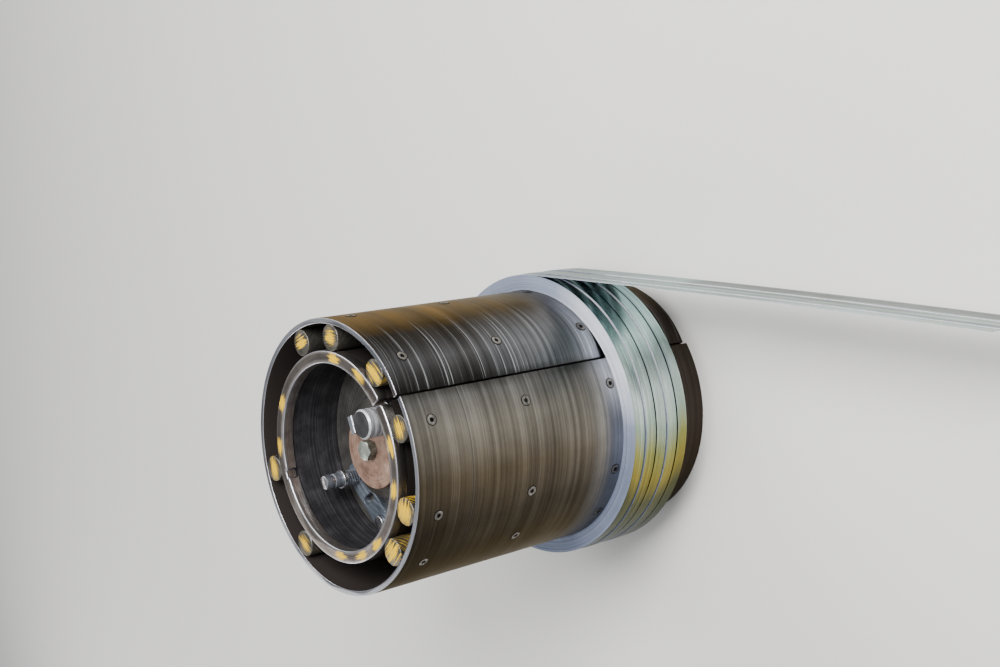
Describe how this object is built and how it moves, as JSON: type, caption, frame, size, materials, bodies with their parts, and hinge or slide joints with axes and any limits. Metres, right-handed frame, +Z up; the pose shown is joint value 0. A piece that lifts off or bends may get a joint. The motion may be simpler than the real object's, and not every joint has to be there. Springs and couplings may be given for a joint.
{
  "type": "steel coil",
  "caption": "Five narrow slit steel coils wound side by side on a slotted round drum that stands on end, open end up, with the strips' free ends running off to one side.",
  "frame": {"origin": "centre of the hub's bore in the drum's back face, which it stands on", "axes": "+Z up the drum's axis to the open end; the strips leave towards +X, off the +Y side of the coils"},
  "size_m": [1.2742, 0.601, 0.716],
  "materials": {
    "shell_steel": "worn rolled plate, streaked round the drum",
    "strip_steel": "bright cold rolled strip",
    "ring_steel": "scuffed, with polished edges and paint dabs",
    "bar_steel": "dull, with worn yellow paint on the ends",
    "dark_steel": "grimy mill scale",
    "machined_steel": "turned, dulled by oil",
    "rusty_steel": "thin brown rust",
    "zinc_steel": "zinc plated",
    "bright_steel": "bare turned steel",
    "blued_steel": "oiled and blued"
  },
  "bodies": {
    "root": {"back_web": "dark_steel", "centre_bolt": "zinc_steel", "core_tube": "dark_steel", "drive_lug": "bright_steel", "drum_shell": "shell_steel", "front_ring": "ring_steel", "front_web": "dark_steel", "hub": "machined_steel", "jack_barrel": "bright_steel", "jack_stud": "bright_steel", "link_pin": "bright_steel", "link_plate": "blued_steel", "retaining_disc": "rusty_steel", "slit_coil_1": "strip_steel", "slit_coil_2": "strip_steel", "slit_coil_3": "strip_steel", "slit_coil_4": "strip_steel", "slit_coil_5": "strip_steel", "spacer_bar_1": "bar_steel", "spacer_bar_2": "bar_steel", "spacer_bar_3": "bar_steel", "spacer_bar_4": "bar_steel", "spacer_bar_5": "bar_steel", "spacer_bar_6": "bar_steel", "spacer_bar_7": "bar_steel", "spacer_bar_8": "bar_steel"}
  },
  "joints": []
}
